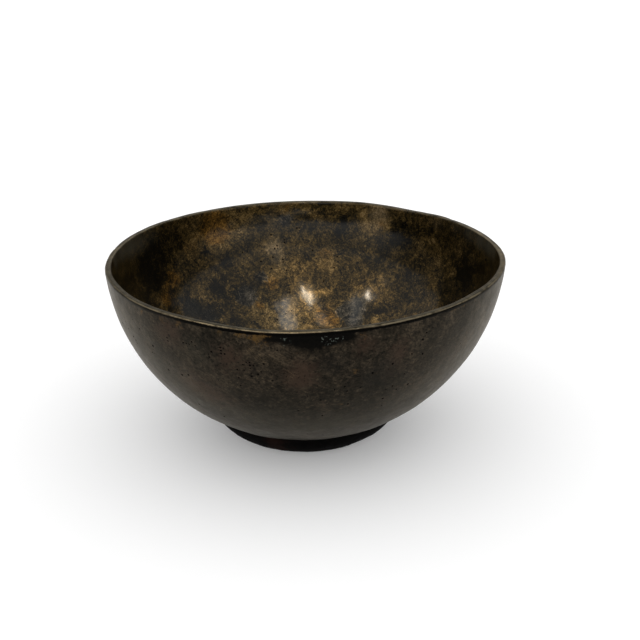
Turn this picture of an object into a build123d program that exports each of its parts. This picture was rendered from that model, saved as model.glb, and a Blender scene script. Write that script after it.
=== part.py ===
"""Cast bronze bowl standing on a separate foot ring, brazed together from inside.

Millimetres, +Z up. The origin is the centre of the circle that the foot rests on.
Each piece is turned about Z from a half section drawn with X as radius and Y as height.
"""

import os
from math import sqrt

from build123d import *

# Bowl: the outer and inner walls are concentric arcs, a hair wider than a true sphere.
BOWL_HEIGHT = 115.5
WALL_RADIUS = 124.0
WALL_THICKNESS = 4.0
WALL_CENTRE_OFFSET = 1.4
WALL_CENTRE_HEIGHT = 125.0

# Lip: flat on top with both corners rounded over.
LIP_OUTER_ROUND = 1.5
LIP_INNER_ROUND = 1.2

# Base of the bowl: a level disc inside and out, clear of the table.
UNDERSIDE_HEIGHT = 5.0
BASE_THICKNESS = 5.0
UNDERSIDE_BLEND = 15.0
FLOOR_BLEND = 80.0

# Foot ring: straight bore, narrow resting face, outer side swelling up to the bowl.
FOOT_BORE_RADIUS = 39.0
FOOT_REST_RADIUS = 45.0
FOOT_SWELL_RADIUS = 56.0
FOOT_SWELL_HEIGHT = 7.2
FOOT_TOP_RADIUS = 62.2
FOOT_BORE_CHAMFER = 0.8

# Braze: a concave fillet run round the corner between the bore and the bowl's underside.
BRAZE_LEG = 2.5
BRAZE_HOLLOW_RADIUS = 3.0


def wall_point(arc_radius, height):
    """Point on a wall arc at a height above the table."""
    drop = WALL_CENTRE_HEIGHT - height
    return (WALL_CENTRE_OFFSET + sqrt(arc_radius**2 - drop**2), height)


def underside_height(radius):
    """Height of the bowl's outer wall at a distance from the axis."""
    return WALL_CENTRE_HEIGHT - sqrt(WALL_RADIUS**2 - (radius - WALL_CENTRE_OFFSET) ** 2)


def wall_arc(arc_radius, low, high):
    """Wall arc between two heights."""
    heights = (low, (low + high) / 2, high)
    return ThreePointArc(*[wall_point(arc_radius, height) for height in heights])


def round_corner(section, corner, radius):
    """Round the section's corner nearest to a point."""
    return fillet(section.vertices().sort_by_distance(corner)[0], radius)


def turn(section):
    """Turn a half section one full revolution about Z."""
    return revolve(Plane.XZ * section, Axis.Z, 360)


def make_bowl_body():
    """Cup with a constant wall, a level floor and a rounded lip."""
    inner_radius = WALL_RADIUS - WALL_THICKNESS
    floor_height = UNDERSIDE_HEIGHT + BASE_THICKNESS
    outer_lip = wall_point(WALL_RADIUS, BOWL_HEIGHT)
    inner_lip = wall_point(inner_radius, BOWL_HEIGHT)
    outer_knuckle = wall_point(WALL_RADIUS, UNDERSIDE_HEIGHT)
    inner_knuckle = wall_point(inner_radius, floor_height)
    outline = [
        wall_arc(WALL_RADIUS, UNDERSIDE_HEIGHT, BOWL_HEIGHT),
        Line(outer_lip, inner_lip),
        wall_arc(inner_radius, floor_height, BOWL_HEIGHT),
        Line(inner_knuckle, (0, floor_height)),
        Line((0, floor_height), (0, UNDERSIDE_HEIGHT)),
        Line((0, UNDERSIDE_HEIGHT), outer_knuckle),
    ]
    section = make_face(outline)
    section = round_corner(section, outer_lip, LIP_OUTER_ROUND)
    section = round_corner(section, inner_lip, LIP_INNER_ROUND)
    section = round_corner(section, inner_knuckle, FLOOR_BLEND)
    section = round_corner(section, outer_knuckle, UNDERSIDE_BLEND)
    return turn(section)


def make_foot_ring():
    """Ring whose top is cut to the bowl's outer wall, so the two meet face to face."""
    bore_top = (FOOT_BORE_RADIUS, underside_height(FOOT_BORE_RADIUS))
    outer_top = (FOOT_TOP_RADIUS, underside_height(FOOT_TOP_RADIUS))
    swell = (FOOT_SWELL_RADIUS, FOOT_SWELL_HEIGHT)
    rest = (FOOT_REST_RADIUS, 0)
    bore_foot = (FOOT_BORE_RADIUS, 0)
    outline = [
        Line(bore_foot, rest),
        ThreePointArc(rest, swell, outer_top),
        wall_arc(WALL_RADIUS, bore_top[1], outer_top[1]),
        Line(bore_top, bore_foot),
    ]
    section = make_face(outline)
    bore_corner = section.vertices().sort_by_distance(bore_foot)[0]
    return turn(chamfer(bore_corner, FOOT_BORE_CHAMFER))


def make_braze_fillet():
    """Filler that ran into the inside corner, leaving the outside joint clean."""
    inward_radius = FOOT_BORE_RADIUS - BRAZE_LEG
    inward = (inward_radius, underside_height(inward_radius))
    corner = (FOOT_BORE_RADIUS, underside_height(FOOT_BORE_RADIUS))
    down = (FOOT_BORE_RADIUS, corner[1] - BRAZE_LEG)
    outline = [
        wall_arc(WALL_RADIUS, inward[1], corner[1]),
        Line(corner, down),
        RadiusArc(down, inward, -BRAZE_HOLLOW_RADIUS),
    ]
    return turn(make_face(outline))


os.makedirs("parts", exist_ok=True)
export_step(make_bowl_body(), "parts/bowl_body.step")
export_step(make_foot_ring(), "parts/foot_ring.step")
export_step(make_braze_fillet(), "parts/braze_fillet.step")
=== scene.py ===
"""Looks of a footed cast bronze bowl under a dark, mottled patina.

Lengths are metres. Angles round the bowl are degrees, 0 at +X, -90 at the front.
"""

import math

import bpy
import numpy as np
from mathutils import Matrix, Vector


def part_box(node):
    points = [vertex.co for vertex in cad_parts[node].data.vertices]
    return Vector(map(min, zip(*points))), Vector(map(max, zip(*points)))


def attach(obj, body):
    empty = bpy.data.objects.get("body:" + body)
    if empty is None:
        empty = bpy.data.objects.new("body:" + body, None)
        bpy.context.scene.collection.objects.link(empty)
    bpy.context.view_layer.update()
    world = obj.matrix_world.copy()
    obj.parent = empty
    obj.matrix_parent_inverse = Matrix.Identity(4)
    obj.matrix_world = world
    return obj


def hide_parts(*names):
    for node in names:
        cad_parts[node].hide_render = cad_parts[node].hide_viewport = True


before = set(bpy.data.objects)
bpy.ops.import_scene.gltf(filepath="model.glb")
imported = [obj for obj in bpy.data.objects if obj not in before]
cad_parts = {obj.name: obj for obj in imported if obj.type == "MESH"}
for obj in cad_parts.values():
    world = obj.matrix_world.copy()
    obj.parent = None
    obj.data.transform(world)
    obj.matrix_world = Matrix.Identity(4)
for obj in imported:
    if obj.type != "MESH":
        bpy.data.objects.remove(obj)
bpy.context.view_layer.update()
MM = 0.001

# Sizes taken from the frame
BOWL_LOW, BOWL_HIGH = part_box("bowl_body")
RIM_RADIUS = BOWL_HIGH.x
LIP_TOP = BOWL_HIGH.z
UNDERSIDE = BOWL_LOW.z

# The bowl's walls are concentric arcs whose centres lie on this circle
WALL_CENTRE_OFFSET = 1.4 * MM
WALL_CENTRE_HEIGHT = LIP_TOP + 9.5 * MM
WALL_CENTRE = (WALL_CENTRE_OFFSET, WALL_CENTRE_HEIGHT)
OUTER_RADIUS = 124.0 * MM
INNER_RADIUS = 120.0 * MM
MIDDLE_RADIUS = (OUTER_RADIUS + INNER_RADIUS) / 2
FLOOR = UNDERSIDE + 5.0 * MM
LIP_OUTER_ROUND = 1.5 * MM
LIP_INNER_ROUND = 1.2 * MM
UNDERSIDE_BLEND = 15.0 * MM
FLOOR_BLEND = 80.0 * MM

# Foot ring: its bore, the outer edge it rests on, a point on its arched face (radius, height),
# its radius at the top, the chamfer and bevel of its edges, and how far it is let into the bowl
FOOT_BORE = 39.0 * MM
FOOT_REST = 45.0 * MM
FOOT_ARCH = (56.0 * MM, 7.2 * MM)
FOOT_TOP_RADIUS = 62.2 * MM
FOOT_CHAMFER = 0.8 * MM
FOOT_BEVEL = 0.5 * MM
FOOT_LET_IN = 0.4 * MM

# Braze: leg of the fillet, how far it tucks into both parts, how far its face sags
BRAZE_LEG = 2.5 * MM
BRAZE_TUCK = 0.4 * MM
BRAZE_SAG = 0.22 * BRAZE_LEG
BRAZE_STEPS = 7

# Fineness of the meshes
WALL_STEP = 2.05 * MM
NEAR_LIP = 7.0 * MM
NEAR_LIP_STEP = 0.8 * MM
LIP_STEP = 0.38 * MM
LEVEL_STEP = 4.0 * MM
FOOT_STEP = 0.8 * MM
FOOT_LEVEL_STEP = 1.0 * MM
FOOT_JOINT_STEP = 2.0 * MM
BOWL_SEGMENTS = 384
FOOT_SEGMENTS = 320
BRAZE_SEGMENTS = 240


def wall_radius(arc_radius, height):
    """Distance from the axis to a wall arc at a height."""
    drop = WALL_CENTRE_HEIGHT - height
    return WALL_CENTRE_OFFSET + math.sqrt(arc_radius**2 - drop**2)


def wall_height(radius):
    """Height of the outer wall at a distance from the axis."""
    return WALL_CENTRE_HEIGHT - math.sqrt(OUTER_RADIUS**2 - (radius - WALL_CENTRE_OFFSET) ** 2)


def arc(centre, radius, start, end, step):
    """Points on an arc in the section plane, by angle in radians."""
    count = max(2, round(abs(end - start) * radius / step))
    angles = np.linspace(start, end, count + 1)
    return [(centre[0] + radius * math.cos(a), centre[1] + radius * math.sin(a)) for a in angles]


def line(start, end, step):
    """Points on a straight run in the section plane."""
    count = max(1, round(math.dist(start, end) / step))
    return [tuple(np.array(start) + (np.array(end) - start) * k / count) for k in range(count + 1)]


def joined(*runs):
    """One polyline from runs that meet end to end."""
    points = list(runs[0])
    for run in runs[1:]:
        points += run[1:]
    return points


def round_centre(height, distance):
    """Centre of a round at a height and at a distance from the wall's centre."""
    return (wall_radius(distance, height), height)


def tangency(centre):
    """Angle, about the wall's centre, at which a round touches the wall."""
    rise = centre[1] - WALL_CENTRE_HEIGHT
    return math.atan2(rise, centre[0] - WALL_CENTRE_OFFSET)


def circle_through(first, second, third):
    """Centre and radius of the circle through three points of the section plane."""
    (ax, ay), (bx, by), (cx, cy) = first, second, third
    d = 2 * (ax * (by - cy) + bx * (cy - ay) + cx * (ay - by))
    sa = ax * ax + ay * ay
    sb = bx * bx + by * by
    sc = cx * cx + cy * cy
    ux = (sa * (by - cy) + sb * (cy - ay) + sc * (ay - by)) / d
    uy = (sa * (cx - bx) + sb * (ax - cx) + sc * (bx - ax)) / d
    return (ux, uy), math.dist((ux, uy), first)


def bowl_section():
    """Closed section of the bowl from under the base, over the lip, to the floor."""
    base = round_centre(UNDERSIDE + UNDERSIDE_BLEND, OUTER_RADIUS - UNDERSIDE_BLEND)
    outer_lip = round_centre(LIP_TOP - LIP_OUTER_ROUND, OUTER_RADIUS - LIP_OUTER_ROUND)
    inner_lip = round_centre(LIP_TOP - LIP_INNER_ROUND, INNER_RADIUS + LIP_INNER_ROUND)
    well = round_centre(FLOOR + FLOOR_BLEND, INNER_RADIUS - FLOOR_BLEND)
    down = -math.pi / 2
    up = math.pi / 2
    outer_end = tangency(outer_lip)
    inner_start = tangency(inner_lip)
    near_lip = NEAR_LIP / OUTER_RADIUS
    return joined(
        line((0.0, UNDERSIDE), (base[0], UNDERSIDE), LEVEL_STEP),
        arc(base, UNDERSIDE_BLEND, down, tangency(base), WALL_STEP),
        arc(WALL_CENTRE, OUTER_RADIUS, tangency(base), outer_end - near_lip, WALL_STEP),
        arc(WALL_CENTRE, OUTER_RADIUS, outer_end - near_lip, outer_end, NEAR_LIP_STEP),
        arc(outer_lip, LIP_OUTER_ROUND, outer_end, up, LIP_STEP),
        line((outer_lip[0], LIP_TOP), (inner_lip[0], LIP_TOP), LIP_STEP),
        arc(inner_lip, LIP_INNER_ROUND, up, inner_start + math.pi, LIP_STEP),
        arc(WALL_CENTRE, INNER_RADIUS, inner_start, inner_start - near_lip, NEAR_LIP_STEP),
        arc(WALL_CENTRE, INNER_RADIUS, inner_start - near_lip, tangency(well), WALL_STEP),
        arc(well, FLOOR_BLEND, tangency(well), down, WALL_STEP),
        line((well[0], FLOOR), (0.0, FLOOR), LEVEL_STEP),
    )


def soft_noise(points, wavelength, seed, waves=28):
    """Smooth random field of unit spread with one main wavelength."""
    rng = np.random.default_rng(seed)
    total = np.zeros(len(points))
    for _ in range(waves):
        direction = rng.normal(size=3)
        direction /= np.linalg.norm(direction)
        pitch = wavelength * rng.uniform(0.7, 1.5)
        total += np.cos(points @ direction * 2 * math.pi / pitch + rng.uniform(0, 2 * math.pi))
    return total * math.sqrt(2 / waves)


def turned_grid(section, segments):
    """Points and faces turned about Z from a closed section; points on the axis stay single."""
    points = []
    rings = []
    for radius, height in section:
        count = 1 if radius < 1e-7 else segments
        rings.append(list(range(len(points), len(points) + count)))
        for k in range(count):
            angle = 2 * math.pi * k / segments
            points.append((radius * math.cos(angle), radius * math.sin(angle), height))
    faces = []
    for below, above in zip(rings, rings[1:] + rings[:1]):
        if len(below) == 1 and len(above) == 1:
            continue
        for k in range(segments):
            n = (k + 1) % segments
            if len(below) == 1:
                faces.append((below[0], above[n], above[k]))
            elif len(above) == 1:
                faces.append((below[k], below[n], above[0]))
            else:
                faces.append((below[k], below[n], above[n], above[k]))
    return np.array(points), faces


def smooth_step(values, low, high):
    """0 below low, 1 above high, and a smooth rise between."""
    t = np.clip((values - low) / (high - low), 0, 1)
    return t * t * (3 - 2 * t)


def wall_place(azimuth, height, inside):
    """Point on the inner or outer wall at an azimuth in degrees and a height in millimetres."""
    radius = wall_radius(INNER_RADIUS if inside else OUTER_RADIUS, height * MM)
    turn = math.radians(azimuth)
    return np.array((radius * math.cos(turn), radius * math.sin(turn), height * MM))


def compass(azimuth, elevation):
    """Unit vector at an azimuth and an elevation in degrees."""
    a = math.radians(azimuth)
    e = math.radians(elevation)
    return np.array((math.cos(e) * math.cos(a), math.cos(e) * math.sin(a), math.sin(e)))


def normals_of(points, faces):
    """Unit vertex normals of a closed grid."""
    total = np.zeros_like(points)
    quads = np.array([f if len(f) == 4 else (f[0], f[1], f[2], f[2]) for f in faces])
    corners = points[quads]
    cross = np.cross(corners[:, 2] - corners[:, 0], corners[:, 3] - corners[:, 1])
    for column in range(4):
        np.add.at(total, quads[:, column], cross)
    return total / np.maximum(np.linalg.norm(total, axis=1, keepdims=True), 1e-12)


# Unevenness of the cast bowl: depth of each kind, and the wavelength of waves and dimples
SWAY = 0.35 * MM
WAVES = 0.07 * MM
WAVE_LENGTH = 30 * MM
DIMPLES = 0.018 * MM
DIMPLE_LENGTH = 9 * MM
LIP_WANDER = 0.22 * MM

# Heights above which the sway and the wander of the rim begin
SWAY_START = UNDERSIDE + 15 * MM
WANDER_START = LIP_TOP - 30 * MM

# Dips and rises of the rim: azimuth, half-width in degrees, rise
RIM_SHAPE = [(-90, 34, -1.1 * MM), (-150, 26, 0.7 * MM), (-30, 26, 0.7 * MM)]

# Where the rim is pressed in or out of round: azimuth, half-width in degrees, outward
RIM_PRESS = [(180, 40, -0.9 * MM), (0, 40, 0.4 * MM)]

# Knocks in the lip's outer corner: azimuth, width, depth
LIP_DENTS = [
    (-105.5, 1.6 * MM, 0.55 * MM),
    (-103.0, 1.3 * MM, 0.45 * MM),
    (-117.0, 1.2 * MM, 0.25 * MM),
    (-52.0, 1.8 * MM, 0.35 * MM),
    (-48.5, 1.4 * MM, 0.30 * MM),
    (-12.0, 1.5 * MM, 0.30 * MM),
    (35.0, 2.0 * MM, 0.30 * MM),
    (118.0, 1.4 * MM, 0.30 * MM),
    (171.0, 1.6 * MM, 0.35 * MM),
]


def azimuth_gap(points, azimuth):
    """Degrees from each point's azimuth to a given one, between -180 and 180."""
    angle = np.degrees(np.arctan2(points[:, 1], points[:, 0]))
    return (angle - azimuth + 180) % 360 - 180


def bulge(points, places):
    """Sum of soft bumps round the bowl from rows of azimuth, half-width in degrees and size."""
    total = np.zeros(len(points))
    for azimuth, width, size in places:
        total += size * np.exp(-((azimuth_gap(points, azimuth) / width) ** 2))
    return total


def uneven_bowl(points, normals):
    """Cast and hand-finished unevenness: sway of the rim, waves, dips and dents."""
    outward = points * np.array((1, 1, 0))
    outward /= np.maximum(np.linalg.norm(outward, axis=1, keepdims=True), 1e-9)
    upper = smooth_step(points[:, 2], SWAY_START, LIP_TOP)
    press = SWAY * soft_noise(outward, 1.9, 3, 9) + bulge(points, RIM_PRESS)
    moved = points + outward * (upper * press)[:, None]
    moved += normals * (WAVES * soft_noise(points, WAVE_LENGTH, 5))[:, None]
    moved += normals * (DIMPLES * soft_noise(points, DIMPLE_LENGTH, 6, 60))[:, None]
    near_lip = smooth_step(points[:, 2], WANDER_START, LIP_TOP)
    rise = LIP_WANDER * soft_noise(outward, 0.55, 7, 16) + bulge(points, RIM_SHAPE)
    moved[:, 2] += near_lip * rise
    for azimuth, width, depth in LIP_DENTS:
        corner = wall_place(azimuth, (LIP_TOP - 0.5 * MM) / MM, False)
        gap = np.linalg.norm(points - corner, axis=1)
        moved -= normals * (depth * np.exp(-((gap / width) ** 2)))[:, None]
    return moved


# Casting pits: azimuth, height in mm, number, spread in mm
OUTSIDE_PITS = [
    (-116, 98, 2, 2), (-112, 101, 2, 3), (-111, 98, 3, 2), (-107, 91, 4, 5), (-105, 92, 3, 4),
    (-108, 78, 1, 1), (-125, 76, 1, 1), (-134, 75, 1, 1), (-128, 102, 4, 8), (-147, 86, 3, 3),
    (-150, 92, 2, 4), (-97, 103, 1, 1), (-60, 92, 1, 1), (-57, 89, 1, 1), (-66, 88, 1, 1),
    (-64, 72, 1, 1), (-66, 69, 2, 1), (-79, 76, 1, 1), (-78, 74, 1, 1), (-74, 75, 1, 1),
    (-83, 75, 1, 2), (-89, 71, 1, 1), (-77, 62, 1, 1), (-56, 104, 1, 1), (-92, 59, 1, 1),
    (-114, 97, 6, 6), (-106, 88, 7, 7), (-121, 99, 4, 6), (-99, 86, 4, 6), (-140, 90, 4, 8),
    (20, 80, 7, 12), (75, 60, 9, 14), (140, 95, 8, 14), (165, 60, 5, 12), (100, 100, 6, 9),
]
INSIDE_PITS = [
    (102, 77, 2, 3), (99, 75, 3, 3), (106, 76, 2, 2), (101, 82, 4, 4), (101, 89, 4, 4),
    (97, 88, 3, 3), (97, 54, 5, 3), (104, 68, 3, 5), (113, 84, 2, 5), (92, 98, 3, 6),
    (75, 70, 3, 8), (40, 90, 3, 10), (128, 92, 3, 8), (-60, 70, 6, 12), (-150, 80, 6, 14),
    (100, 40, 5, 8),
]

# How far pits scatter, as a share of their spread; pits anywhere, and their heights in mm
PIT_SCATTER = 0.6
STRAY_PITS = 60
STRAY_HEIGHTS = (25, 112)

# A pit's radius and depth, how drawn out it is, how much it narrows below, its corners
# and the direction of the first one
PIT_RADIUS = (0.34 * MM, 0.70 * MM)
PIT_DEPTH = (0.35 * MM, 0.7 * MM)
PIT_STRETCHES = (1.0, 1.1, 1.25, 1.7)
PIT_TAPER = 0.75
PIT_CORNERS = 8
PIT_START = -157.5


def pit_places(rng):
    """Centre of each pit on the walls."""
    places = []
    for clusters, inside in ((OUTSIDE_PITS, False), (INSIDE_PITS, True)):
        for azimuth, height, count, spread in clusters:
            middle = wall_place(azimuth, height, inside)
            for _ in range(count):
                places.append(middle + rng.normal(size=3) * spread * MM * PIT_SCATTER)
    for k in range(STRAY_PITS):
        height = rng.uniform(*STRAY_HEIGHTS)
        places.append(wall_place(rng.uniform(-180, 180), height, k % 3 == 0))
    return places


def sink_pit(points, corners, rng):
    """Add the points of a pit cut into a face: an opening, a lower ring and a bottom."""
    a, b, c, d = corners
    middle = (a + b + c + d) / 4
    normal = np.cross(c - a, d - b)
    normal /= np.linalg.norm(normal)
    across = (b - a) / np.linalg.norm(b - a)
    along = np.cross(normal, across)
    widest = 0.4 * min(np.linalg.norm(b - a), np.linalg.norm(d - a))
    radius = rng.uniform(*PIT_RADIUS)
    stretch = rng.choice(PIT_STRETCHES)
    lean = rng.uniform(0, math.pi)
    depth = rng.uniform(*PIT_DEPTH)
    opening = []
    for k in range(PIT_CORNERS):
        angle = math.radians(PIT_START + 360 * k / PIT_CORNERS)
        reach = radius * rng.uniform(0.85, 1.12)
        reach *= math.hypot(math.cos(angle - lean) * stretch, math.sin(angle - lean))
        reach = min(reach, widest)
        opening.append(across * math.cos(angle) * reach + along * math.sin(angle) * reach)
    points.extend(middle + step for step in opening)
    points.extend(middle + step * PIT_TAPER - normal * depth for step in opening)
    points.append(middle - normal * depth * 1.2)


def pit_faces(face, first):
    """Faces that join one grid face to its pit, the pit's walls and its bottom."""
    a, b, c, d = face
    top = list(range(first, first + PIT_CORNERS))
    low = list(range(first + PIT_CORNERS, first + 2 * PIT_CORNERS))
    bottom = first + 2 * PIT_CORNERS
    apron = [
        (a, b, top[2], top[1]), (b, c, top[4], top[3]),
        (c, d, top[6], top[5]), (d, a, top[0], top[7]),
        (a, top[1], top[0]), (b, top[3], top[2]), (c, top[5], top[4]), (d, top[7], top[6]),
    ]
    walls = []
    for k in range(PIT_CORNERS):
        n = (k + 1) % PIT_CORNERS
        walls.append((top[k], top[n], low[n], low[k]))
        walls.append((low[k], low[n], bottom))
    return apron, walls


def cut_pits(points, faces):
    """Replace chosen grid faces by pits; returns points, faces, pit walls and pit openings."""
    rng = np.random.default_rng(21)
    quads = [k for k, face in enumerate(faces) if len(face) == 4]
    centres = points[np.array([faces[k] for k in quads])].mean(axis=1)
    chosen = set()
    for place in pit_places(rng):
        nearest = quads[int(np.argmin(np.sum((centres - place) ** 2, axis=1)))]
        chosen.add(nearest)
    all_points = list(points)
    kept = [face for k, face in enumerate(faces) if k not in chosen]
    walls = []
    openings = []
    for k in sorted(chosen):
        first = len(all_points)
        sink_pit(all_points, points[list(faces[k])], rng)
        apron, pit_walls = pit_faces(faces[k], first)
        kept += apron
        walls += pit_walls
        openings.append(first)
    return np.array(all_points), kept, walls, openings


def build_mesh(name, points, faces):
    """Mesh from points and faces."""
    mesh = bpy.data.meshes.new(name)
    mesh.from_pydata([tuple(p) for p in points], [], faces)
    mesh.update()
    return mesh


def sharpen_openings(mesh, openings):
    """Crisp edge round each pit's opening."""
    pit_of = np.full(len(mesh.vertices), -1)
    for first in openings:
        pit_of[first:first + PIT_CORNERS] = first
    ends = np.empty(len(mesh.edges) * 2, int)
    mesh.edges.foreach_get("vertices", ends)
    ends = ends.reshape(-1, 2)
    first_pit = pit_of[ends[:, 0]]
    second_pit = pit_of[ends[:, 1]]
    layer = mesh.attributes.new("sharp_edge", "BOOLEAN", "EDGE")
    layer.data.foreach_set("value", (first_pit >= 0) & (first_pit == second_pit))


def write_mask(mesh, name, values, domain="POINT"):
    """Store one number per vertex or face for the materials to read."""
    layer = mesh.attributes.new(name, "FLOAT", domain)
    layer.data.foreach_set("value", np.asarray(values, np.float32))


def show(mesh, material, node):
    """Put a finished mesh in the scene in place of its CAD node."""
    mesh.materials.append(material)
    mesh.shade_smooth()
    piece = bpy.data.objects.new(mesh.name, mesh)
    bpy.context.scene.collection.objects.link(piece)
    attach(piece, "root")
    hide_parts(node)


# Patina clouds on the inner wall, with clouds of painted sheen near the rim and painted reflection
# among the haze: azimuth, height in mm, radius in mm, strength
INSIDE_CLOUDS = {
    "warm": [
        (122, 104, 13, 2.4), (133, 93, 11, 0.8), (135, 112, 9, 0.6), (144, 78, 9, 1.1),
        (152, 68, 7, 0.9), (134, 61, 7, 0.6), (117, 95, 11, 0.7), (112, 104, 9, 0.6),
        (96, 113, 6, 1.2), (65, 109, 9, 1.6), (101, 84, 9, 0.8), (102, 68, 9, 0.7),
        (39, 94, 10, 0.6), (106, 108, 8, 0.7), (103, 61, 8, 1.0), (110, 47, 7, 0.9),
        (93, 71, 11, 0.7), (109, 41, 10, 0.7), (131, 47, 6, 0.6), (162, 98, 8, 0.3),
        (76, 113, 6, 0.8), (62, 103, 8, 1.6), (82, 77, 9, 1.0), (81, 69, 6, 1.1),
        (85, 45, 7, 0.3), (76, 37, 8, 1.0), (54, 41, 7, 0.8), (47, 49, 8, 0.5),
        (86, 108, 8, 0.6), (20, 112, 10, 0.6), (8, 108, 10, 0.5), (90, 115, 6, 0.9),
        (77, 115, 6, 1.0), (106, 115, 6, 0.9), (55, 115, 6, 0.9), (122, 114, 7, 0.8),
        (43, 114, 6, 0.6), (67, 84, 11, 0.5), (37, 80, 14, 0.8), (28, 100, 10, 0.6),
        (37, 112, 8, 0.5), (45, 96, 10, 0.7), (57, 66, 9, 0.5), (70, 66, 9, 0.5),
        (95, 34, 16, 0.7), (-170, 60, 22, 0.8), (-140, 95, 18, 0.7), (-100, 80, 22, 0.9),
        (-60, 100, 15, 0.7), (-45, 60, 20, 0.8), (-10, 85, 18, 0.7), (180, 25, 20, 0.8),
        (0, 30, 22, 0.7), (-90, 35, 16, 0.8), (60, 20, 18, 0.6),
    ],
    "amber": [
        (122, 101, 9, 0.9), (133, 93, 7, 0.6), (144, 78, 8, 1.1), (151, 68, 8, 1.1),
        (122, 104, 12, 1.0), (103, 60, 6, 0.8), (110, 48, 4, 1.0), (96, 113, 4, 0.7),
        (82, 78, 6, 0.6), (62, 102, 5, 0.6), (80, 40, 9, 0.8), (74, 37, 5, 0.5),
        (-105, 78, 12, 0.7), (-40, 60, 10, 0.7), (-160, 55, 10, 0.7),
    ],
    "dark": [
        (96, 101, 7, 0.7), (149, 109, 10, 0.4), (150, 92, 12, 1.0), (119, 79, 9, 0.7),
        (117, 57, 8, 0.7), (127, 63, 10, 1.0), (142, 57, 11, 1.1), (133, 49, 9, 1.0),
        (107, 65, 5, 0.7), (127, 90, 4, 0.8), (76, 104, 5, 0.8), (76, 94, 7, 0.8),
        (56, 95, 7, 0.9), (52, 91, 9, 0.5), (48, 102, 7, 0.4), (21, 88, 14, 1.0),
        (10, 98, 10, 0.6), (153, 88, 12, 1.0), (72, 43, 6, 0.4), (70, 38, 5, 0.4),
        (56, 47, 6, 0.6), (47, 61, 9, 0.5), (158, 85, 12, 0.7), (-120, 60, 15, 0.8),
        (-75, 95, 14, 0.8), (-20, 55, 16, 0.8), (-165, 90, 14, 0.8), (120, 22, 14, 0.6),
        (-60, 25, 14, 0.7),
    ],
    "blue": [
        (96, 103, 8, 0.9), (115, 56, 8, 1.0), (142, 57, 9, 1.0), (135, 48, 8, 0.9),
        (107, 65, 6, 0.9), (115, 54, 7, 0.8), (66, 47, 9, 1.2), (72, 43, 6, 1.0),
        (76, 96, 8, 0.7), (65, 38, 8, 0.9), (149, 106, 12, 0.5), (-120, 62, 14, 0.9),
        (-20, 55, 14, 0.8), (30, 40, 12, 0.6),
    ],
    # Painted sheen: a pale olive-grey reflection painted on the inner wall near the rim at both ends
    # of the bowl
    "painted_sheen": [
        (148, 111, 10, 0.35), (156, 110, 10, 0.6), (163, 111, 9, 0.8), (170, 113, 8, 0.9),
        (178, 114, 8, 0.9), (32, 113, 8, 0.4), (24, 113, 8, 0.6), (17, 112, 8, 0.8),
        (10, 113, 8, 0.9), (4, 113, 7, 0.7),
    ],
    # Grey haze of the patina; the clouds where the pale streaks glint also carry a painted
    # reflection
    "haze_and_sheen": [
        (63, 109, 9, 1.2), (101, 106, 8, 0.6), (99, 73, 7, 0.5), (101, 83, 8, 0.9),
        (97, 48, 8, 0.9), (100, 37, 8, 0.8), (57, 66, 8, 0.5), (40, 113, 9, 0.6),
        (66, 46, 7, 0.4), (30, 113, 8, 0.4), (99, 86, 6, 0.3),
    ],
}

# Patina clouds on the outer wall, in the same form as those on the inner wall
OUTSIDE_CLOUDS = {
    "warm": [
        (-128, 104, 13, 0.9), (-124, 71, 14, 0.8), (-118, 64, 12, 0.8), (-110, 95, 12, 0.9),
        (-93, 82, 12, 0.8), (-90, 91, 9, 0.8), (-65, 96, 9, 1.0), (-75, 104, 8, 0.9),
        (-47, 86, 10, 0.5), (-66, 80, 8, 0.5), (-85, 62, 9, 0.4), (-150, 100, 8, 0.3),
        (-20, 90, 14, 0.6), (20, 70, 18, 0.8), (60, 95, 15, 0.9), (100, 60, 18, 0.9),
        (140, 90, 16, 0.8), (175, 65, 15, 0.8), (120, 40, 14, 0.6), (30, 40, 14, 0.6),
    ],
    "amber": [
        (-102, 113, 4, 1.0), (-106, 113, 4, 0.9), (-102, 108, 5, 0.6), (-99, 113, 3, 0.7),
        (-112, 111, 4, 0.8), (-124, 111, 3, 0.8), (-130, 111, 3, 0.8), (-138, 111, 3, 0.8),
        (-77, 87, 3, 0.7), (-80, 85, 3, 0.4), (-80, 64, 4, 0.6), (-79, 61, 3, 0.5),
        (-118, 114, 4, 0.5), (-75, 112, 5, 0.4), (-48, 114, 4, 0.9), (-44, 114, 3, 1.0),
        (-38, 114, 2, 0.9), (55, 112, 6, 0.8), (110, 85, 5, 0.7), (150, 108, 6, 0.7),
        (10, 60, 5, 0.6),
    ],
    "dark": [
        (-99, 112, 4, 1.3), (-95, 112, 5, 1.5), (-91, 111, 5, 1.5), (-87, 111, 5, 1.5),
        (-83, 111, 5, 1.4), (-79, 112, 5, 1.3), (-88, 104, 9, 0.5), (-75, 114, 3, 0.8),
        (-22, 112, 4, 0.9), (-28, 113, 4, 1.1), (-34, 113, 4, 1.1), (-40, 114, 3, 1.0),
        (-143, 113, 3, 1.0), (-149, 112, 4, 1.1), (-155, 112, 4, 1.0), (-161, 112, 3, 0.8),
        (-102, 90, 8, 0.5), (-96, 88, 7, 0.4), (-70, 83, 14, 0.5), (-83, 94, 9, 0.6),
        (80, 108, 9, 0.9), (-10, 110, 7, 0.6), (165, 110, 8, 0.7),
    ],
    "blue": [
        (-70, 83, 14, 0.8), (-83, 94, 10, 0.8), (-102, 90, 8, 0.5), (-45, 70, 16, 0.5),
        (-60, 60, 12, 0.5), (90, 80, 16, 0.7), (0, 75, 16, 0.6), (-165, 70, 14, 0.4),
    ],
    "painted_sheen": [],
    "haze_and_sheen": [
        (-120, 96, 12, 0.9), (-140, 80, 12, 0.6), (-132, 60, 14, 0.6), (-105, 50, 18, 0.6),
        (-78, 48, 16, 0.6), (-55, 100, 12, 0.4), (-90, 40, 18, 0.6), (45, 60, 16, 0.6),
        (130, 65, 16, 0.6),
    ],
}

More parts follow.
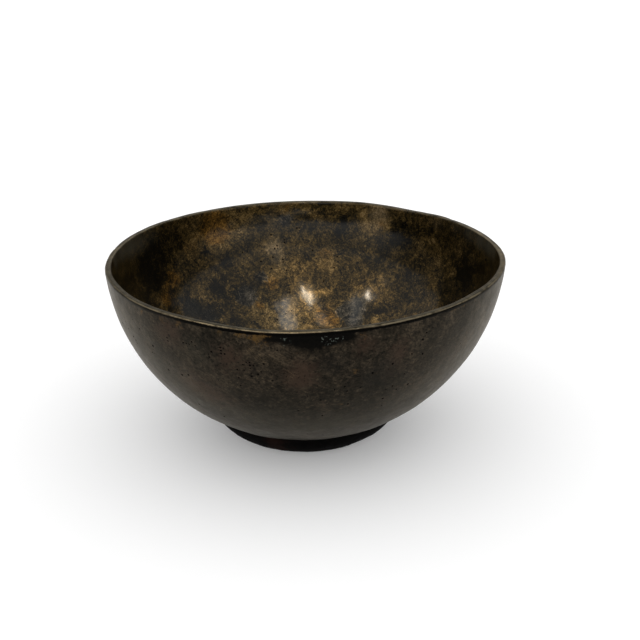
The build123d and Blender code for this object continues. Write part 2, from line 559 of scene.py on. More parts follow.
# Stretches of the lip rubbed bright or left dark: azimuth, half-width in degrees, strength
WORN_LIP = [
    (-4, 16, 0.28), (14, 12, 0.2), (-130, 30, -0.1), (-35, 25, -0.1), (175, 16, 0.08),
    (90, 62, -0.3),
]

# Bands of the lip, as heights against its top: where each fades in, and where the line ends
LIP_BAND = (-1.0 * MM, -0.5 * MM)
CORNER_BAND = (-1.2 * MM, -0.6 * MM)
LINE_START = (-3.2 * MM, -1.9 * MM)
LINE_END = (-1.1 * MM, -0.7 * MM)

# The rubbed corners of the lip: how far from its middle, and how wide
CORNER_PLACE = 1.4 * MM
CORNER_WIDTH = 0.28 * MM

# Flecks of pale verdigris in the black patina under the lip, in the form of the clouds
VERDIGRIS = [(-95, 110, 3, 0.8), (-84, 111, 4, 1.0), (-81, 112, 4, 0.7), (84, 109, 5, 0.9)]

# Rubbed places where fine scratches show the metal, in the form of the clouds
SCRATCHES = [
    (-103, 102, 6, 1.0), (-100, 97, 5, 0.8), (-99, 77, 4, 1.0), (-94, 86, 6, 0.8),
    (-96, 97, 6, 0.7), (-70, 80, 6, 0.6), (-64, 62, 6, 0.6), (-45, 66, 8, 0.5),
    (-120, 85, 8, 0.4), (60, 70, 9, 0.8), (120, 90, 9, 0.8), (170, 80, 9, 0.7),
]


def clouds(points, places, inside):
    """Soft patches round chosen places on a wall."""
    total = np.zeros(len(points))
    for azimuth, height, size, strength in places:
        gap = np.linalg.norm(points - wall_place(azimuth, height, inside), axis=1)
        total += strength * np.exp(-((gap / (size * MM)) ** 2))
    return np.minimum(total, 1.4)


def paint_lip(mesh, rest, outer):
    """Masks of the lip, its rubbed corners, its worn stretches and the dark line under it."""
    rise = rest[:, 2] - LIP_TOP
    lip = smooth_step(rise, *LIP_BAND)
    from_axis = np.hypot(rest[:, 0], rest[:, 1])
    from_middle = np.abs(from_axis - wall_radius(MIDDLE_RADIUS, LIP_TOP))
    corner = np.exp(-(((from_middle - CORNER_PLACE) / CORNER_WIDTH) ** 2))
    below = smooth_step(rise, *LINE_START) * (1 - smooth_step(rise, *LINE_END))
    write_mask(mesh, "lip", lip)
    write_mask(mesh, "lip_corner", corner * smooth_step(rise, *CORNER_BAND))
    write_mask(mesh, "below_lip", below * outer)
    write_mask(mesh, "worn", bulge(rest, WORN_LIP) * lip)


def paint_bowl(mesh, rest, wall_faces):
    """Masks that tell the patina, its painted sheen and its painted reflection where they are on the
    bowl.
    """
    from_axis = np.hypot(rest[:, 0], rest[:, 1])
    reach = np.hypot(from_axis - WALL_CENTRE_OFFSET, rest[:, 2] - WALL_CENTRE_HEIGHT)
    inner = (reach < MIDDLE_RADIUS) & (rest[:, 2] > (UNDERSIDE + FLOOR) / 2)
    outer = ~inner
    write_mask(mesh, "inner", inner)
    write_mask(mesh, "under", outer * (1 - smooth_step(from_axis, FOOT_BORE, FOOT_BORE + 1 * MM)))
    paint_lip(mesh, rest, outer)
    for name, places in INSIDE_CLOUDS.items():
        values = clouds(rest, places, True) * inner
        values += clouds(rest, OUTSIDE_CLOUDS[name], False) * outer
        write_mask(mesh, name, values)
    write_mask(mesh, "verdigris", clouds(rest, VERDIGRIS, False) * outer)
    write_mask(mesh, "scratched", clouds(rest, SCRATCHES, False) * outer)
    pit = np.zeros(len(mesh.polygons))
    pit[-wall_faces:] = 1
    write_mask(mesh, "pit", pit, "FACE")


class Nodes:
    """Short names for building one material's nodes."""

    def __init__(self, name):
        self.material = bpy.data.materials.new(name)
        self.material.use_nodes = True
        self.tree = self.material.node_tree
        self.shader = self.tree.nodes["Principled BSDF"]
        self.place = self.make("ShaderNodeTexCoord", {}).outputs["Object"]

    def plug(self, socket, value):
        """Link a socket to another one, or set its value."""
        if isinstance(value, bpy.types.NodeSocket):
            self.tree.links.new(value, socket)
        else:
            socket.default_value = value

    def make(self, kind, inputs, **settings):
        """New node with its inputs plugged and its settings set."""
        made = self.tree.nodes.new(kind)
        for key, value in settings.items():
            setattr(made, key, value)
        for key, value in inputs.items():
            self.plug(made.inputs[key], value)
        return made

    def mask(self, name):
        """A mask written on the mesh."""
        return self.make("ShaderNodeAttribute", {}, attribute_name=name).outputs["Fac"]

    def noise(self, size, detail=3.0, roughness=0.55, warp=0.0, place=None):
        """Noise about 0.5 whose features are about a given size in metres."""
        inputs = {
            "Vector": place or self.place,
            "Scale": 1 / size,
            "Detail": detail,
            "Roughness": roughness,
            "Distortion": warp,
        }
        return self.make("ShaderNodeTexNoise", inputs).outputs["Fac"]

    def spread(self, strength, size, detail, roughness, warp=0.0, place=None):
        """Noise about 0 of a given strength."""
        noise = self.noise(size, detail, roughness, warp, place)
        return self.scaled(noise, strength, -strength / 2)

    def calc(self, operation, *values, clamp=False):
        """One step of arithmetic."""
        inputs = dict(enumerate(values))
        made = self.make("ShaderNodeMath", inputs, operation=operation, use_clamp=clamp)
        return made.outputs[0]

    def scaled(self, value, gain, offset=0.0):
        """A value times a gain, plus an offset."""
        return self.calc("MULTIPLY_ADD", value, gain, offset)

    def times(self, *values):
        """Product of values."""
        result = values[0]
        for value in values[1:]:
            result = self.calc("MULTIPLY", result, value)
        return result

    def total(self, *values):
        """Sum of values."""
        result = values[0]
        for value in values[1:]:
            result = self.calc("ADD", result, value)
        return result

    def inverse(self, value):
        """1 less a value, kept between 0 and 1."""
        return self.calc("SUBTRACT", 1.0, value, clamp=True)

    def rise(self, value, low, high):
        """0 below low and 1 above high, smooth between."""
        inputs = {"Value": value, "From Min": low, "From Max": high}
        made = self.make("ShaderNodeMapRange", inputs, interpolation_type="SMOOTHSTEP")
        return made.outputs["Result"]

    def patch(self, name, ragged, raggedness, fade):
        """A mask written on the mesh, its edge broken up by noise."""
        edge = self.total(self.mask(name), self.times(ragged, raggedness))
        return self.rise(edge, *fade)

    def strands(self, size, width, warp, place=None):
        """Thin winding lines, 1 on the line and 0 away from it."""
        field = self.noise(size, 1.5, 0.5, warp, place)
        off_line = self.calc("ABSOLUTE", self.calc("SUBTRACT", field, 0.5))
        return self.inverse(self.rise(off_line, 0.0, width))

    def ramp(self, value, stops):
        """Colour that a value picks between stops."""
        made = self.make("ShaderNodeValToRGB", {"Fac": value})
        elements = made.color_ramp.elements
        while len(elements) < len(stops):
            elements.new(0.5)
        for element, (position, colour) in zip(elements, stops):
            element.position = position
            element.color = (*colour, 1)
        return made.outputs["Color"]

    def mix(self, factor, first, second, blend_type="MIX"):
        """Two colours mixed, or blended in another way."""
        made = self.make("ShaderNodeMix", {}, data_type="RGBA", blend_type=blend_type)
        made.clamp_factor = True
        for socket, value in ((0, factor), (6, first), (7, second)):
            if isinstance(value, tuple):
                value = (*value, 1)
            self.plug(made.inputs[socket], value)
        return made.outputs[2]

    def flowing(self, across, along, lean):
        """Place drawn out into streaks that run round the bowl, leaning by some degrees."""
        parts = self.make("ShaderNodeSeparateXYZ", {"Vector": self.place}).outputs
        turn = self.calc("ARCTAN2", parts["X"], self.scaled(parts["Y"], -1.0))
        round_way = self.times(turn, RIM_RADIUS * 0.85)
        c = math.cos(math.radians(lean))
        s = math.sin(math.radians(lean))
        run = self.total(self.times(round_way, c), self.times(parts["Z"], s))
        rise = self.total(self.times(parts["Z"], c), self.times(round_way, -s))
        inputs = {"X": self.times(run, 1 / along), "Y": self.times(rise, 1 / across)}
        return self.make("ShaderNodeCombineXYZ", inputs).outputs["Vector"]

    def bump(self, height, depth, normal=None):
        """Surface direction tilted by small heights, of a depth in metres."""
        inputs = {"Height": height, "Distance": depth, "Strength": 1.0}
        if normal is not None:
            inputs["Normal"] = normal
        return self.make("ShaderNodeBump", inputs).outputs["Normal"]

    def finish(self, **sockets):
        """Plug the shader's sockets and return the material."""
        names = {"colour": "Base Color", "specular": "Specular IOR Level"}
        for key, value in sockets.items():
            if isinstance(value, tuple):
                value = (*value, 1)
            self.plug(self.shader.inputs[names.get(key, key.title())], value)
        return self.material


# Ground tones of the patina, from dark to bright
INSIDE_TONES = [
    (0.00, (0.0018, 0.0014, 0.0005)),
    (0.25, (0.0095, 0.0068, 0.0020)),
    (0.50, (0.0370, 0.0243, 0.0075)),
    (0.70, (0.0760, 0.0480, 0.0150)),
    (0.85, (0.1180, 0.0740, 0.0250)),
    (1.00, (0.1900, 0.1250, 0.0520)),
]
OUTSIDE_TONES = [
    (0.00, (0.0017, 0.0016, 0.0012)),
    (0.35, (0.0090, 0.0075, 0.0052)),
    (0.60, (0.0185, 0.0146, 0.0100)),
    (1.00, (0.0500, 0.0375, 0.0245)),
]
LIP_TONES = [
    (0.25, (0.010, 0.0085, 0.0052)),
    (0.45, (0.038, 0.0320, 0.0210)),
    (0.65, (0.074, 0.0600, 0.0380)),
    (0.85, (0.140, 0.1120, 0.0680)),
]

# Tints that multiply the inner ground: mask, raggedness, where it fades in, tint
INSIDE_TINTS = [
    ("amber", 0.8, (0.25, 0.95), (1.18, 0.90, 0.40)),
    ("blue", -0.8, (0.35, 0.80), (0.62, 0.86, 2.10)),
]
TINT_STRENGTH = 0.85

# Stains that cover the outer ground: mask, raggedness, where it fades in, strength, colour
OUTSIDE_STAINS = [
    ("warm", 0.80, (0.20, 1.20), 0.80, (0.0330, 0.0205, 0.0140)),
    ("blue", 0.40, (0.10, 1.10), 0.60, (0.0105, 0.0102, 0.0090)),
    ("haze_and_sheen", 0.40, (0.10, 1.10), 0.45, (0.0240, 0.0222, 0.0160)),
    ("dark", 0.45, (0.25, 1.00), 0.95, (0.0012, 0.0012, 0.0011)),
    ("amber", 1.10, (0.50, 1.30), 0.85, (0.0750, 0.0420, 0.0130)),
]
# Grey of the haze, which is also the colour of the painted reflection under the pale streaks
HAZE_AND_SHEEN_GREY = (0.110, 0.088, 0.060)
HAZE_AND_SHEEN_GAIN = (2.6, 2.8, 4.0)
# Colour of the painted sheen near the inner rim
OLIVE_PAINTED_SHEEN = (0.110, 0.103, 0.078)
SPECK_BROWN = (0.0025, 0.0022, 0.0018)
SCRATCHED_METAL = (0.110, 0.078, 0.044)
VERDIGRIS_GREEN = (0.070, 0.082, 0.070)
RUBBED_METAL = (0.160, 0.132, 0.085)
LINE_BLACK = (0.0008, 0.0007, 0.0006)
PIT_BLACK = (0.0015, 0.0014, 0.0012)
CRUST_BROWN = (0.012, 0.010, 0.008)
CRUST_GREY = (0.050, 0.050, 0.036)

# The outer ground is darkest below the first height and has no shade above the second
SHADE_HEIGHTS = (10 * MM, 75 * MM)

# Thin wax over the inner wall, and the tint of reflections at a glancing angle
WAX = 0.27
WAX_ROUGHNESS = 0.12
EDGE_TINT = (1.0, 0.95, 0.86, 1)


def inside_colour(nodes):
    """Gold-brown strands and clouds over olive black, a painted sheen near the rim, and how bright
    they are.
    """
    ragged = nodes.spread(2.4, 6 * MM, 5, 0.72, 1.4)
    specks = nodes.rise(nodes.noise(1.5 * MM, 1, 0.5, 0.5), 0.62, 0.72)
    tone = nodes.total(
        nodes.spread(1.0, 22 * MM, 3, 0.60, 1.0),
        nodes.spread(1.6, 8.0 * MM, 5, 0.72, 1.6),
        nodes.spread(1.2, 3.4 * MM, 3, 0.70, 2.2),
        nodes.spread(1.1, 1.2 * MM, 3, 0.75, 0.8),
        nodes.times(nodes.strands(5.0 * MM, 0.030, 2.8), -0.34),
        nodes.times(nodes.strands(3.0 * MM, 0.035, 2.2), 0.22),
        nodes.times(nodes.patch("warm", ragged, 0.7, (0.30, 0.90)), 0.22),
        nodes.times(nodes.patch("dark", ragged, -0.8, (0.35, 0.80)), -0.34),
        nodes.times(specks, -0.28),
        0.39,
    )
    colour = nodes.ramp(tone, INSIDE_TONES)
    for name, raggedness, fade, tint in INSIDE_TINTS:
        patch = nodes.patch(name, ragged, raggedness, fade)
        tinted = nodes.mix(1.0, colour, tint, "MULTIPLY")
        colour = nodes.mix(nodes.times(patch, TINT_STRENGTH), colour, tinted)
    # Grey haze, in places a painted reflection under the pale streaks, lightens and greys the ground
    haze_and_sheen = nodes.patch("haze_and_sheen", ragged, 0.5, (0.10, 1.20))
    hazed_and_sheened = nodes.mix(0.5, HAZE_AND_SHEEN_GREY, nodes.mix(1.0, colour, HAZE_AND_SHEEN_GAIN, "MULTIPLY"))
    colour = nodes.mix(nodes.times(haze_and_sheen, 0.6), colour, hazed_and_sheened)
    # Painted sheen: olive grey laid over the patina near the rim
    painted_sheen = nodes.patch("painted_sheen", ragged, 0.15, (0.15, 1.15))
    colour = nodes.mix(nodes.times(painted_sheen, 0.65), colour, OLIVE_PAINTED_SHEEN)
    return colour, tone


def outside_colour(nodes):
    """Smoother grey-brown patina with rust clouds, black and amber stains and scratches."""
    height = nodes.make("ShaderNodeSeparateXYZ", {"Vector": nodes.place}).outputs["Z"]
    low = nodes.inverse(nodes.rise(height, *SHADE_HEIGHTS))
    tone = nodes.total(
        nodes.spread(1.0, 28 * MM, 3, 0.6, 0.5),
        nodes.spread(1.2, 8.0 * MM, 5, 0.7, 1.2),
        nodes.spread(1.6, 1.9 * MM, 4, 0.7, 0.5),
        nodes.spread(0.6, 1.0, 2, 0.6, 0.0, nodes.flowing(0.9 * MM, 7 * MM, -30)),
        nodes.times(low, -0.18),
        0.56,
    )
    colour = nodes.ramp(tone, OUTSIDE_TONES)
    ragged = nodes.total(
        nodes.spread(2.4, 7.0 * MM, 4, 0.7, 1.2),
        nodes.spread(1.2, 1.7 * MM, 2, 0.6, 0.8),
    )
    for name, raggedness, fade, strength, stain in OUTSIDE_STAINS:
        patch = nodes.patch(name, ragged, raggedness, fade)
        colour = nodes.mix(nodes.times(patch, strength), colour, stain)
    specks = nodes.rise(nodes.noise(1.4 * MM, 1, 0.5, 0.3), 0.62, 0.70)
    colour = nodes.mix(nodes.times(specks, 0.75), colour, SPECK_BROWN)
    lines = nodes.strands(1.0, 0.035, 0.3, nodes.flowing(0.9 * MM, 14 * MM, -38))
    rubbed = nodes.patch("scratched", ragged, 0.8, (0.40, 1.20))
    colour = nodes.mix(nodes.times(lines, rubbed, 0.8), colour, SCRATCHED_METAL)
    flecks = nodes.rise(nodes.noise(1.9 * MM, 1, 0.5, 0.6), 0.60, 0.70)
    pale = nodes.rise(nodes.mask("verdigris"), 0.15, 0.5)
    return nodes.mix(nodes.times(flecks, pale, 0.85), colour, VERDIGRIS_GREEN)


def lip_colour(nodes, colour):
    """Streaked olive lip with rubbed corners and a broken black line under it."""
    tone = nodes.total(
        nodes.noise(1.0, 3, 0.6, 0.0, nodes.flowing(0.6 * MM, 9 * MM, 0)),
        nodes.spread(0.9, 6 * MM, 3, 0.6),
        nodes.mask("worn"),
    )
    colour = nodes.mix(nodes.mask("lip"), colour, nodes.ramp(tone, LIP_TONES))
    worn_off = nodes.rise(nodes.noise(9 * MM, 4, 0.7), 0.36, 0.56)
    rubbed = nodes.times(nodes.mask("lip_corner"), worn_off, 0.85)
    colour = nodes.mix(rubbed, colour, RUBBED_METAL)
    below = nodes.mask("below_lip")
    broken = nodes.total(
        below,
        nodes.spread(1.6, 14 * MM, 3, 0.6),
        nodes.spread(0.8, 2 * MM, 2, 0.6),
        0.18,
    )
    line = nodes.times(nodes.rise(broken, 0.55, 0.85), nodes.rise(below, 0.05, 0.3))
    return nodes.mix(line, colour, LINE_BLACK)


def patina_bump(nodes, inner):
    """Fine grain of the casting, curly wear inside and brush marks outside."""
    grain = nodes.noise(1.1 * MM, 3, 0.6)
    curls = nodes.strands(2.6 * MM, 0.08, 2.5)
    brushed = nodes.noise(1.0, 3, 0.6, 0.0, nodes.flowing(0.55 * MM, 12 * MM, -24))
    crossed = nodes.noise(1.0, 3, 0.6, 0.0, nodes.flowing(0.7 * MM, 16 * MM, 12))
    inside = nodes.total(nodes.times(grain, 0.14), nodes.times(curls, 0.05))
    outside = nodes.total(
        nodes.times(grain, 0.35),
        nodes.times(brushed, 0.30),
        nodes.times(crossed, 0.25),
    )
    height = nodes.total(nodes.times(inside, inner), nodes.times(outside, nodes.inverse(inner)))
    sway = nodes.times(nodes.noise(9 * MM, 2, 0.5), nodes.scaled(inner, -0.75, 1.0))
    broad = nodes.bump(sway, 0.14 * MM)
    return nodes.bump(height, 0.10 * MM, broad)


def bowl_patina():
    """The bowl's patina: mottled inside with a painted sheen near the rim, smoother outside, rubbed
    on the lip, crusted below.
    """
    nodes = Nodes("mottled_patina_painted_sheen")
    inner = nodes.mask("inner")
    lip = nodes.mask("lip")
    under = nodes.mask("under")
    pit = nodes.mask("pit")
    inside, inside_tone = inside_colour(nodes)
    colour = nodes.mix(inner, outside_colour(nodes), inside)
    colour = lip_colour(nodes, colour)
    crusted = nodes.rise(nodes.noise(4 * MM, 4, 0.7), 0.45, 0.60)
    colour = nodes.mix(under, colour, nodes.mix(crusted, CRUST_BROWN, CRUST_GREY))
    colour = nodes.mix(pit, colour, PIT_BLACK)
    bright = nodes.rise(nodes.times(inside_tone, inner), 0.35, 0.95)
    metal = nodes.total(
        nodes.scaled(inner, -0.06, 0.66),
        nodes.times(bright, 0.15),
        nodes.times(lip, 0.30),
    )
    metal = nodes.times(metal, nodes.inverse(pit))
    dull = nodes.total(
        nodes.scaled(nodes.noise(5 * MM, 3, 0.6), 0.20, 0.22),
        nodes.times(nodes.inverse(inner), 0.08),
        nodes.times(under, 0.25),
        nodes.times(pit, 0.40),
    )
    waxed = nodes.times(inner, nodes.inverse(lip), nodes.inverse(pit), WAX)
    nodes.plug(nodes.shader.inputs["Coat Weight"], waxed)
    nodes.plug(nodes.shader.inputs["Coat Roughness"], WAX_ROUGHNESS)
    nodes.plug(nodes.shader.inputs["Specular Tint"], EDGE_TINT)
    normal = patina_bump(nodes, inner)
    return nodes.finish(colour=colour, metallic=metal, roughness=dull, specular=0.045, normal=normal)


def make_bowl():
    """Mottled bowl: turned, made uneven, pitted and given its patina."""
    rest, faces = turned_grid(bowl_section(), BOWL_SEGMENTS)
    normals = normals_of(rest, faces)
    moved = uneven_bowl(rest, normals)
    points, faces, walls, openings = cut_pits(moved, faces)
    mesh = build_mesh("patinated_bowl", points, faces + walls)
    sharpen_openings(mesh, openings)
    rest = np.concatenate([rest, points[len(rest):]])
    paint_bowl(mesh, rest, len(walls))
    show(mesh, bowl_patina(), "bowl_body")


def foot_section():
    """Closed section of the foot ring, its top let into the bowl's outer wall."""
    outer_top = (FOOT_TOP_RADIUS, wall_height(FOOT_TOP_RADIUS))
    bore_top = (FOOT_BORE, wall_height(FOOT_BORE))
    bore_foot = (FOOT_BORE, FOOT_CHAMFER)
    rest_inside = (FOOT_BORE + FOOT_CHAMFER, 0.0)
    rest_outside = (FOOT_REST - FOOT_BEVEL, 0.0)
    centre, radius = circle_through((FOOT_REST, 0.0), FOOT_ARCH, outer_top)
    start = math.atan2(-centre[1], FOOT_REST - centre[0])
    end = math.atan2(outer_top[1] - centre[1], outer_top[0] - centre[0])
    top_radius = OUTER_RADIUS - FOOT_LET_IN
    top = arc(WALL_CENTRE, top_radius, tangency(outer_top), tangency(bore_top), FOOT_JOINT_STEP)
    return joined(
        line(bore_foot, rest_inside, FOOT_CHAMFER / 2),
        line(rest_inside, rest_outside, FOOT_LEVEL_STEP),
        # joined leaves out the first point of this arc, which bevels the resting edge
        arc(centre, radius, start, end, FOOT_STEP),
        [outer_top, *top],
        [top[-1], *line(bore_top, bore_foot, FOOT_LEVEL_STEP)[:-1]],
    )


# Near-black tones of the foot: dark patina, darkened further as painted shade under the bowl
FOOT_PATINA_AND_SHADE_TONES = [
    (0.30, (0.0008, 0.0008, 0.0007)),
    (0.60, (0.0018, 0.0015, 0.0013)),
    (0.85, (0.0060, 0.0032, 0.0025)),
]
# Reddish colour of a painted reflection on the foot
FOOT_REFLECTION_RED = (0.0100, 0.0046, 0.0034)
# Brown metal of the foot: a painted highlight line on its face, and wear on the face it rests on
FOOT_WEAR_AND_HIGHLIGHT = (0.040, 0.023, 0.011)
FOOT_IOR = 1.06

# Where the foot has its painted reddish reflection and its painted highlight line: azimuth,
# half-width in degrees, strength
REFLECTION_PLACES = [(-109, 8, 1.0)]
HIGHLIGHT_LINE_PLACES = [(-60, 26, 1.0)]
HIGHLIGHT_LINE_ALL_ROUND = 0.25

# The painted highlight line's height and width
HIGHLIGHT_LINE_HEIGHT = 2.6 * MM
HIGHLIGHT_LINE_WIDTH = 0.8 * MM


def foot_patina():
    """Nearly black, partly dark patina and partly painted shade, with a painted reddish reflection,
    and brown metal as a painted highlight line on the face and as wear at the resting face.
    """
    nodes = Nodes("black_patina_painted_shade")
    tone = nodes.total(
        nodes.spread(0.9, 14 * MM, 3, 0.6, 0.5),
        nodes.spread(0.5, 1.8 * MM, 3, 0.6),
        0.50,
    )
    # Painted reflection: a faint reddish patch on the front of the foot
    painted_reflection = nodes.patch("painted_reflection", nodes.spread(1.6, 5 * MM, 3, 0.6), 1.0, (0.2, 1.1))
    colour = nodes.mix(nodes.times(painted_reflection, 0.8), nodes.ramp(tone, FOOT_PATINA_AND_SHADE_TONES), FOOT_REFLECTION_RED)
    # Brown metal: a painted highlight line along the face, and wear where the foot rests
    edge = nodes.times(nodes.mask("rubbed"), nodes.rise(nodes.noise(12 * MM, 4, 0.65), 0.38, 0.60))
    colour = nodes.mix(nodes.times(edge, 0.8), colour, FOOT_WEAR_AND_HIGHLIGHT)
    metal = nodes.times(edge, 0.5)
    dull = nodes.scaled(nodes.noise(3 * MM, 3, 0.6), 0.3, 0.45)
    marks = nodes.noise(1.0, 3, 0.6, 0.0, nodes.flowing(0.5 * MM, 12 * MM, 0))
    height = nodes.total(nodes.times(marks, 0.5), nodes.noise(1.4 * MM, 3, 0.6))
    normal = nodes.bump(height, 0.10 * MM)
    nodes.plug(nodes.shader.inputs["IOR"], FOOT_IOR)
    return nodes.finish(colour=colour, metallic=metal, roughness=dull, specular=0.4, normal=normal)


def make_foot():
    """Foot ring with slight waves, a painted highlight line on its face and wear at the resting
    face.
    """
    rest, faces = turned_grid(foot_section(), FOOT_SEGMENTS)
    normals = normals_of(rest, faces)
    height = rest[:, 2]
    free = smooth_step(height, 0.2 * MM, 3 * MM)
    moved = rest + normals * (0.10 * MM * free * soft_noise(rest, 24 * MM, 15))[:, None]
    moved += normals * (0.04 * MM * free * soft_noise(rest, 6 * MM, 16, 50))[:, None]
    mesh = build_mesh("dark_foot_ring", moved, faces)
    outside = np.hypot(rest[:, 0], rest[:, 1]) > FOOT_REST
    # A painted highlight line round the face, strongest at the front right; the resting face below
    # is worn
    band = np.exp(-(((height - HIGHLIGHT_LINE_HEIGHT) / HIGHLIGHT_LINE_WIDTH) ** 2)) * outside
    rubbed = band * (bulge(rest, HIGHLIGHT_LINE_PLACES) + HIGHLIGHT_LINE_ALL_ROUND)
    write_mask(mesh, "rubbed", np.minimum(rubbed + 0.5 * (height < 0.3 * MM), 1))
    write_mask(mesh, "painted_reflection", bulge(rest, REFLECTION_PLACES))
    show(mesh, foot_patina(), "foot_ring")


def braze_section():
    """Closed section of the filler in the corner between bore and bowl."""
    inward_radius = FOOT_BORE - BRAZE_LEG
    inward = (inward_radius, wall_height(inward_radius))
    corner = (FOOT_BORE, wall_height(FOOT_BORE))
    down = (FOOT_BORE, corner[1] - BRAZE_LEG)
    bead = []
    for k in range(BRAZE_STEPS + 1):
        t = k / BRAZE_STEPS
        sag = BRAZE_SAG * math.sin(math.pi * t)
        radius = inward[0] + (down[0] - inward[0]) * t + sag
        height = inward[1] + (down[1] - inward[1]) * t + sag
        bead.append((radius, height))
    tucked_corner = (corner[0] + BRAZE_TUCK, corner[1] + BRAZE_TUCK)
    tucked_down = (down[0] + BRAZE_TUCK, down[1])
    tucked_inward = (inward[0], inward[1] + BRAZE_TUCK)
    return bead + [tucked_down, tucked_corner, tucked_inward]


BRAZE_TONES = [
    (0.30, (0.030, 0.022, 0.014)),
    (0.50, (0.140, 0.095, 0.045)),
    (0.75, (0.360, 0.260, 0.120)),
]


def braze_metal():
    """Tarnished brazing brass: dull gold with brown flux stains."""
    nodes = Nodes("tarnished_braze")
    tone = nodes.total(
        nodes.noise(6 * MM, 4, 0.65, 0.5),
        nodes.spread(0.6, 1.2 * MM, 3, 0.6),
    )
    colour = nodes.ramp(tone, BRAZE_TONES)
    metal = nodes.rise(tone, 0.35, 0.70)
    dull = nodes.scaled(nodes.noise(2 * MM, 3, 0.6), 0.4, 0.25)
    normal = nodes.bump(nodes.noise(0.9 * MM, 3, 0.6), 0.12 * MM)
    return nodes.finish(colour=colour, metallic=metal, roughness=dull, specular=0.3, normal=normal)


def make_braze():
    """Bead of filler whose face swells and thins round the ring."""
    rest, faces = turned_grid(braze_section(), BRAZE_SEGMENTS)
    normals = normals_of(rest, faces)
    free = np.zeros(len(rest))
    free[:(BRAZE_STEPS + 1) * BRAZE_SEGMENTS] = 1
    lumps = 0.22 * MM * soft_noise(rest, 11 * MM, 25)
    lumps += 0.12 * MM * soft_noise(rest, 4 * MM, 26, 50)
    moved = rest + normals * (free * lumps)[:, None]
    mesh = build_mesh("braze_bead", moved, faces)
    show(mesh, braze_metal(), "braze_fillet")


# Floor: half its side and its own faint light
FLOOR_HALF = 9.0
FLOOR_GLOW = 0.16


def make_floor():
    """Plain pale floor."""
    nodes = Nodes("pale_floor")
    mesh = bpy.data.meshes.new("floor")
    h = FLOOR_HALF
    mesh.from_pydata([(-h, -h, 0), (h, -h, 0), (h, h, 0), (-h, h, 0)], [], [(0, 1, 2, 3)])
    nodes.plug(nodes.shader.inputs["Emission Color"], (1, 1, 1, 1))
    nodes.plug(nodes.shader.inputs["Emission Strength"], FLOOR_GLOW)
    mesh.materials.append(nodes.finish(colour=(0.9, 0.9, 0.9), roughness=0.9, specular=0.0))
    floor = bpy.data.objects.new("floor", mesh)
    bpy.context.scene.collection.objects.link(floor)


# Camera: where it stands about the centre of the rim, and where it looks
CAMERA_DISTANCE = 6.0 * RIM_RADIUS
CAMERA_ELEVATION = 18.76
CAMERA_PITCH = 21.80
CAMERA_HEADING = 0.79
CAMERA_ROLL = 0.54
CAMERA_LENS = 66.74


def make_camera():
    """Camera in front of the bowl, looking down into it."""
    elevation = math.radians(CAMERA_ELEVATION)
    rim_centre = Vector((0, 0, LIP_TOP - LIP_OUTER_ROUND))
    offset = Vector((0, -math.cos(elevation), math.sin(elevation))) * CAMERA_DISTANCE
    data = bpy.data.cameras.new("camera")
    data.lens = CAMERA_LENS
    camera = bpy.data.objects.new("camera", data)
    bpy.context.scene.collection.objects.link(camera)
    turn = Matrix.Rotation(math.radians(-CAMERA_HEADING), 4, "Z")
    tilt = Matrix.Rotation(math.radians(90 - CAMERA_PITCH), 4, "X")
    roll = Matrix.Rotation(math.radians(-CAMERA_ROLL), 4, "Z")
    camera.matrix_world = Matrix.Translation(rim_centre + offset) @ turn @ tilt @ roll
    bpy.context.scene.camera = camera


def make_lamp(name, target, first, last, width, power, colour):
    """Soft oval lamp that reaches from one place to another and faces a target."""
    middle = (first + last) / 2
    back = (middle - target).normalized()
    along = (last - first) - back * (last - first).dot(back)
    data = bpy.data.lights.new(name, "AREA")
    data.shape = "ELLIPSE"
    data.size = width
    data.size_y = along.length
    data.energy = power
    data.color = colour
    along.normalize()
    lamp = bpy.data.objects.new(name, data)
    turn = Matrix((along.cross(back), along, back)).transposed().to_4x4()
    lamp.matrix_world = Matrix.Translation(middle) @ turn
    lamp.visible_diffuse = False
    bpy.context.scene.collection.objects.link(lamp)


# Lamps seen in the bowl's inner wall: wall place, directions of both ends, width, power, colour
GLINTS = [
    ("key_glint", (90, 53), (-90, 46), (-94, 60), 0.012, 4.7, (1.0, 0.85, 0.64)),
    ("key_tail", (84, 42), (-102, 62), (-136, 73), 0.14, 0.9, (1.0, 0.84, 0.66)),
    ("side_glint", (63, 55), (-149, 41), (-153, 45), 0.05, 2.6, (1.0, 0.86, 0.68)),
    ("pink_streak", (98, 40), (-71, 56), (-42, 78), 0.20, 2.2, (0.88, 0.93, 1.0)),
    ("blue_streak", (66, 48), (-139, 45), (-162, 61), 0.22, 0.6, (0.84, 0.92, 1.0)),
]
GLINT_DISTANCE = 1.5

# Surroundings: brightness low in front of the bowl and everywhere else, where the bright part
# fades in towards the front and downward
SKY_FRONT = 1.95
SKY_ASIDE = 0.19
SKY_FADE_FORWARD = (-0.2, -0.7)
SKY_FADE_DOWN = (0.50, 0.08)

# Light from above: power and angle in degrees
SKYLIGHT_POWER = 2.6
SKYLIGHT_SPREAD = 140


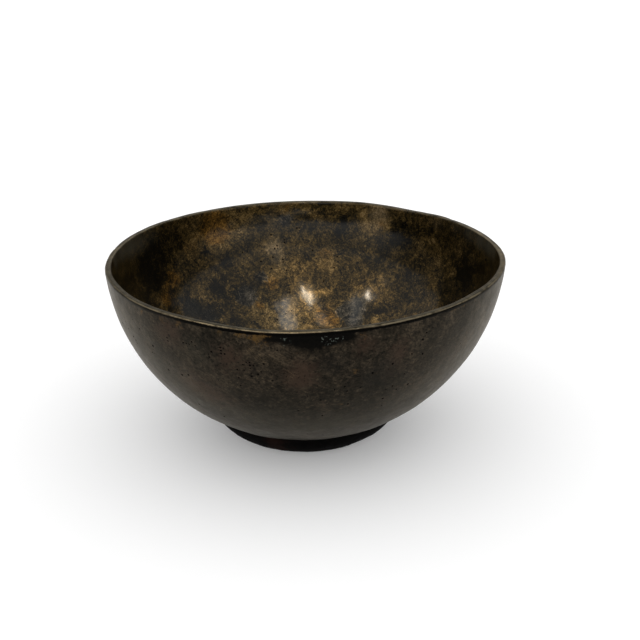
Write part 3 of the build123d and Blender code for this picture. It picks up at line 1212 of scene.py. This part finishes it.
def make_sky():
    """Dim surroundings with a bright band low in front of the bowl."""
    world = bpy.data.worlds.new("studio")
    world.use_nodes = True
    tree = world.node_tree
    background = tree.nodes["Background"]
    place = tree.nodes.new("ShaderNodeTexCoord")
    parts = tree.nodes.new("ShaderNodeSeparateXYZ")
    tree.links.new(place.outputs["Generated"], parts.inputs["Vector"])
    band = tree.nodes.new("ShaderNodeMath")
    band.operation = "MULTIPLY"
    ranges = (("Y", SKY_FADE_FORWARD, SKY_FRONT - SKY_ASIDE), ("Z", SKY_FADE_DOWN, 1.0))
    for slot, (axis, (start, end), most) in enumerate(ranges):
        fade = tree.nodes.new("ShaderNodeMapRange")
        fade.interpolation_type = "SMOOTHSTEP"
        fade.inputs["From Min"].default_value = start
        fade.inputs["From Max"].default_value = end
        fade.inputs["To Max"].default_value = most
        tree.links.new(parts.outputs[axis], fade.inputs["Value"])
        tree.links.new(fade.outputs["Result"], band.inputs[slot])
    strength = tree.nodes.new("ShaderNodeMath")
    strength.inputs[1].default_value = SKY_ASIDE
    tree.links.new(band.outputs["Value"], strength.inputs[0])
    tree.links.new(strength.outputs["Value"], background.inputs["Strength"])
    background.inputs["Color"].default_value = (1.0, 1.0, 1.0, 1)
    bpy.context.scene.world = world


def make_skylight():
    """Very wide soft light from straight above."""
    data = bpy.data.lights.new("skylight", "SUN")
    data.energy = SKYLIGHT_POWER
    data.angle = math.radians(SKYLIGHT_SPREAD)
    lamp = bpy.data.objects.new("skylight", data)
    bpy.context.scene.collection.objects.link(lamp)


def make_glints():
    """Small warm and cool lamps that glint in the bowl."""
    for name, (azimuth, height), start, end, width, power, colour in GLINTS:
        spot = Vector(wall_place(azimuth, height, True))
        first = spot + Vector(compass(*start)) * GLINT_DISTANCE
        last = spot + Vector(compass(*end)) * GLINT_DISTANCE
        make_lamp(name, spot, first, last, width, power, colour)


make_bowl()
make_foot()
make_braze()
make_floor()
make_camera()
make_sky()
make_skylight()
make_glints()
bpy.context.scene.view_settings.view_transform = "Standard"
